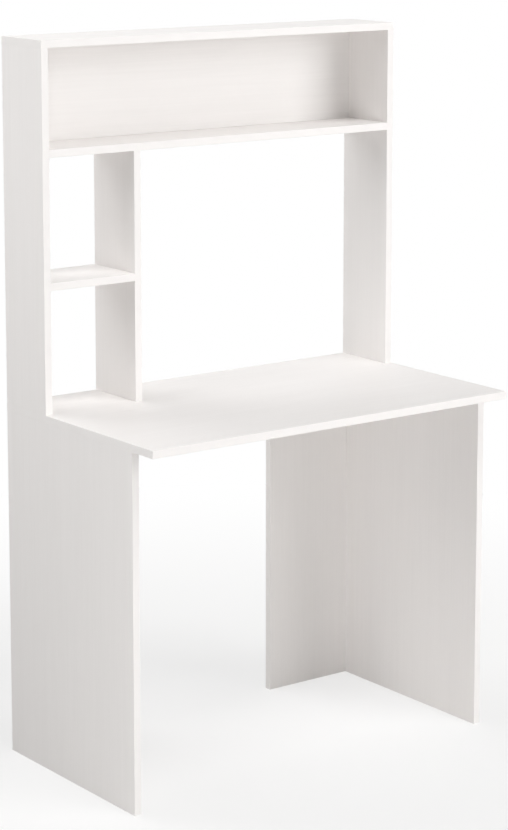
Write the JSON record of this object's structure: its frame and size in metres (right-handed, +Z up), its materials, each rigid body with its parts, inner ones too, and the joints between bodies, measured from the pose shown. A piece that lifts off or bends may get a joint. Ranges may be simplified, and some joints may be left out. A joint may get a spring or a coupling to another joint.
{
  "type": "student desk with hutch",
  "caption": "White flat-pack study desk: plain board top on panel legs with rear braces, and a tall open hutch with a shelf box, cubbies and a monitor bay.",
  "frame": {"origin": "on the floor, under the middle of the desktop's outline", "axes": "+Z up, +X to the sitter's right, +Y from the sitter towards the wall"},
  "size_m": [0.9, 0.53, 1.5004],
  "materials": {
    "white_melamine": "chipboard faced with satin white melamine film, pressed with a fine straight wood grain",
    "white_edging": "ironed-on white plastic edge band, trimmed with a small radius",
    "zinc_cam": "bare zinc die casting",
    "plated_steel": "zinc-plated steel",
    "beech": "turned raw beech",
    "white_cover": "stick-on white plastic film"
  },
  "bodies": {
    "root": {"box_back_cam_bolts": "plated_steel", "box_back_cam_locks": "zinc_cam", "box_back_dowels": "beech", "box_back_panel": "white_melamine", "box_back_screws": "plated_steel", "box_shelf": "white_melamine", "box_shelf_cam_bolts": "plated_steel", "box_shelf_cam_locks": "zinc_cam", "box_shelf_dowels": "beech", "box_shelf_edging": "white_edging", "brace_cam_bolts": "plated_steel", "brace_cam_locks": "zinc_cam", "brace_dowels": "beech", "cubby_shelf": "white_melamine", "cubby_shelf_cam_bolts": "plated_steel", "cubby_shelf_cam_locks": "zinc_cam", "cubby_shelf_dowels": "beech", "cubby_shelf_edging": "white_edging", "desktop": "white_melamine", "desktop_edging": "white_edging", "divider_dowels": "beech", "divider_screws": "plated_steel", "hutch_divider": "white_melamine", "hutch_divider_edging": "white_edging", "hutch_left_side": "white_melamine", "hutch_left_side_edging": "white_edging", "hutch_right_side": "white_melamine", "hutch_right_side_edging": "white_edging", "hutch_side_screws": "plated_steel", "hutch_top": "white_melamine", "hutch_top_edging": "white_edging", "left_back_brace": "white_melamine", "left_back_brace_edging": "white_edging", "left_leg_panel": "white_melamine", "left_leg_panel_edging": "white_edging", "leg_cam_bolts": "plated_steel", "leg_cam_locks": "zinc_cam", "leg_dowels": "beech", "right_back_brace": "white_melamine", "right_back_brace_edging": "white_edging", "right_leg_panel": "white_melamine", "right_leg_panel_edging": "white_edging", "top_screw_covers": "white_cover", "top_screws": "plated_steel"}
  },
  "joints": []
}
